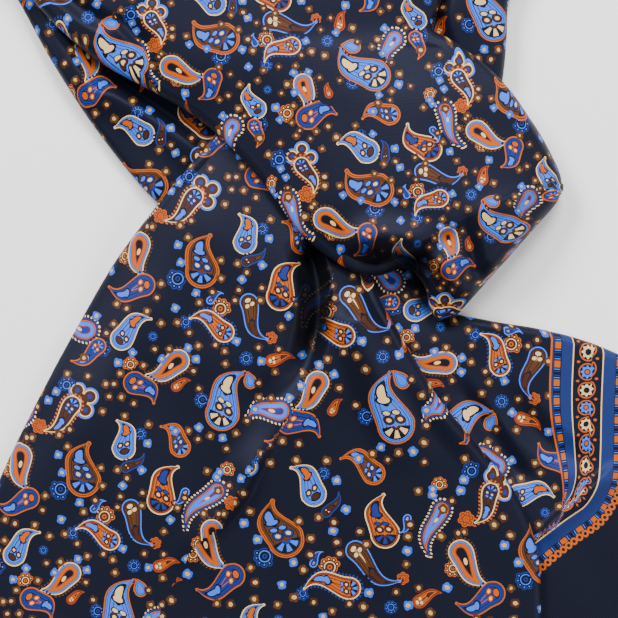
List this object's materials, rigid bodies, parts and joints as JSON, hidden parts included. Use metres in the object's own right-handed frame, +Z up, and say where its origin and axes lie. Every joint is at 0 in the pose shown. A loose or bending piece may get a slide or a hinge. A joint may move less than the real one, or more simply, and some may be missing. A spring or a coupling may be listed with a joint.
{
  "type": "silk shawl",
  "caption": "Printed silk shawl folded lengthwise, doubled, laid round in a neck loop and drawn through itself, lying flat with both tails fanned out.",
  "frame": {"origin": "middle of the laid shawl's bounding box, on the surface it lies on", "axes": "+Z up from the surface, +Y from the tails' hems towards the neck loop, +X to the right of the shawl as seen from above"},
  "size_m": [0.3054, 0.5056, 0.0287],
  "materials": {
    "printed_silk": "soft silk twill sheen, printed",
    "inner_silk": "soft silk twill, in shade",
    "rolled_hem": "hand rolled silk edge"
  },
  "bodies": {
    "root": {"front_leg": "printed_silk", "back_leg": "printed_silk", "right_strand": "printed_silk", "left_tail": "printed_silk", "right_tail": "printed_silk", "neck_loop": "printed_silk", "inner_layers": "inner_silk", "neck_layers": "inner_silk", "hem_left": "rolled_hem", "hem_right": "rolled_hem"}
  },
  "joints": []
}
